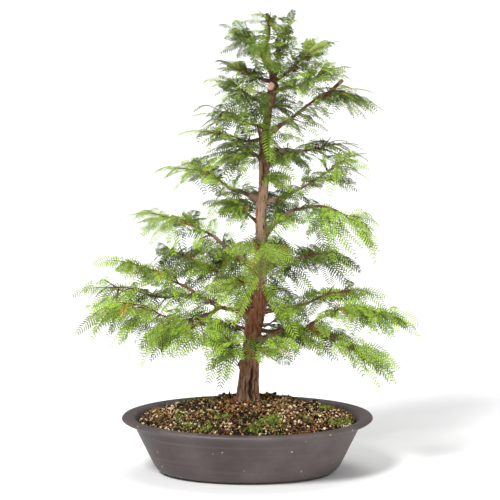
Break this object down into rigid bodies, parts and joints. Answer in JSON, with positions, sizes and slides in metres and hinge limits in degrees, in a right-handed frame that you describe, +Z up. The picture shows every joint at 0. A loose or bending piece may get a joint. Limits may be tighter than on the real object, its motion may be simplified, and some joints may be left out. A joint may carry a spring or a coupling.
{
  "type": "dawn redwood bonsai in an oval pot",
  "caption": "Dawn redwood bonsai: one tapering trunk, layered feathery branches, and an oval unglazed pot with a turned-out lip.",
  "frame": {"origin": "middle of the pot's flat underside", "axes": "+Z up, +X to the viewer's right along the pot's length, -Y to the front"},
  "size_m": [0.4959, 0.3178, 0.665],
  "materials": {
    "pot": "matte",
    "soil": "matte",
    "bark": "matte",
    "foliage": "matte"
  },
  "bodies": {
    "root": {"pot": "pot", "soil": "soil", "trunk": "bark", "bough_back_3": "bark", "bough_back_4": "bark", "bough_back_5": "bark", "bough_left_10": "bark", "bough_left_11": "bark", "bough_left_12": "bark", "bough_left_6": "bark", "bough_left_8": "bark", "bough_left_9": "bark", "bough_right_11": "bark", "bough_right_12": "bark", "bough_right_3": "bark", "bough_right_4": "bark", "bough_right_6": "bark", "bough_right_7": "bark", "bough_right_8": "bark", "bough_right_9": "bark", "mass_back_1": "foliage", "mass_back_2": "foliage", "mass_back_3": "foliage", "mass_back_4": "foliage", "mass_back_5": "foliage", "mass_front_1": "foliage", "mass_front_2": "foliage", "mass_front_3": "foliage", "mass_left_1": "foliage", "mass_left_10": "foliage", "mass_left_11": "foliage", "mass_left_12": "foliage", "mass_left_13": "foliage", "mass_left_14": "foliage", "mass_left_15": "foliage", "mass_left_2": "foliage", "mass_left_3": "foliage", "mass_left_4": "foliage", "mass_left_5": "foliage", "mass_left_6": "foliage", "mass_left_7": "foliage", "mass_left_8": "foliage", "mass_left_9": "foliage", "mass_right_1": "foliage", "mass_right_10": "foliage", "mass_right_11": "foliage", "mass_right_12": "foliage", "mass_right_13": "foliage", "mass_right_14": "foliage", "mass_right_2": "foliage", "mass_right_3": "foliage", "mass_right_4": "foliage", "mass_right_5": "foliage", "mass_right_6": "foliage", "mass_right_7": "foliage", "mass_right_8": "foliage", "mass_right_9": "foliage", "mass_top_leader": "foliage", "mass_top_left": "foliage", "mass_top_right": "foliage"}
  },
  "joints": []
}
